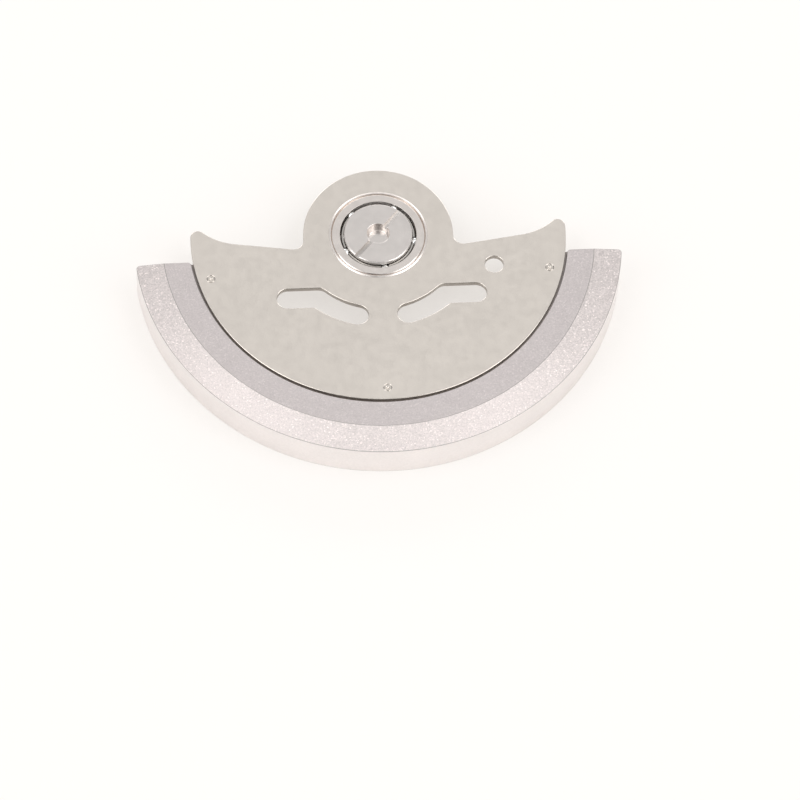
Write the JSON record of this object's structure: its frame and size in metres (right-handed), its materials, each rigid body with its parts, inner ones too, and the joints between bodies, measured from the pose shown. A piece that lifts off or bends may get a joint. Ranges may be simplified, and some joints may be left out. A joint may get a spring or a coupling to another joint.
{
  "type": "automatic watch rotor",
  "caption": "Oscillating weight of a self-winding watch: a half-ring weight riveted under a pierced plate that spins freely on a ball bearing with a slotted core screw.",
  "frame": {"origin": "on the bearing's axis, in the plane of the bearing's seat, where the core screw's stud leaves it", "axes": "+Z is the rotor's axis, from the stud to the slotted head; the weight lies towards -Y; +X is along its two ends"},
  "size_m": [0.0258, 0.017, 0.0026],
  "materials": {
    "plate_nickel": "satin",
    "sintered_weight": "matte",
    "bearing_steel": "satin",
    "wheel_steel": "satin",
    "cage_steel": "satin",
    "ball_steel": "polished"
  },
  "bodies": {
    "core": {"core_screw": "bearing_steel", "inner_cone": "bearing_steel"},
    "rotor": {"rotor_plate": "plate_nickel", "heavy_weight": "sintered_weight", "rivet_left": "plate_nickel", "rivet_middle": "plate_nickel", "rivet_right": "plate_nickel", "bearing_outer_ring": "bearing_steel", "drive_wheel": "wheel_steel"},
    "cage": {"ball_cage": "cage_steel"},
    "ball_1_body": {"ball_1": "ball_steel"},
    "ball_2_body": {"ball_2": "ball_steel"},
    "ball_3_body": {"ball_3": "ball_steel"},
    "ball_4_body": {"ball_4": "ball_steel"},
    "ball_5_body": {"ball_5": "ball_steel"}
  },
  "joints": [
    {"name": "rotor_spin", "type": "hinge", "parent": "core", "child": "rotor", "pos_m": [0, 0, 0], "axis": [0, 0, 1], "continuous": true},
    {"name": "cage_spin", "type": "hinge", "parent": "core", "child": "cage", "pos_m": [0, 0, 0], "axis": [0, 0, 1], "continuous": true},
    {"name": "ball_1_spin", "type": "hinge", "parent": "cage", "child": "ball_1_body", "pos_m": [0.00194, -0.00034, 0.00069], "axis": [0, 0, 1], "continuous": true},
    {"name": "ball_2_spin", "type": "hinge", "parent": "cage", "child": "ball_2_body", "pos_m": [0.00092, 0.00174, 0.00069], "axis": [0, 0, 1], "continuous": true},
    {"name": "ball_3_spin", "type": "hinge", "parent": "cage", "child": "ball_3_body", "pos_m": [-0.00137, 0.00142, 0.00069], "axis": [0, 0, 1], "continuous": true},
    {"name": "ball_4_spin", "type": "hinge", "parent": "cage", "child": "ball_4_body", "pos_m": [-0.00177, -0.00086, 0.00069], "axis": [0, 0, 1], "continuous": true},
    {"name": "ball_5_spin", "type": "hinge", "parent": "cage", "child": "ball_5_body", "pos_m": [0.00027, -0.00195, 0.00069], "axis": [0, 0, 1], "continuous": true}
  ],
  "couplings": [
    {"joint": "cage_spin", "follows": "rotor_spin", "ratio": 0.55384},
    {"joint": "ball_1_spin", "follows": "rotor_spin", "ratio": 4.5895},
    {"joint": "ball_2_spin", "follows": "rotor_spin", "ratio": 4.5895},
    {"joint": "ball_3_spin", "follows": "rotor_spin", "ratio": 4.5895},
    {"joint": "ball_4_spin", "follows": "rotor_spin", "ratio": 4.5895},
    {"joint": "ball_5_spin", "follows": "rotor_spin", "ratio": 4.5895}
  ]
}
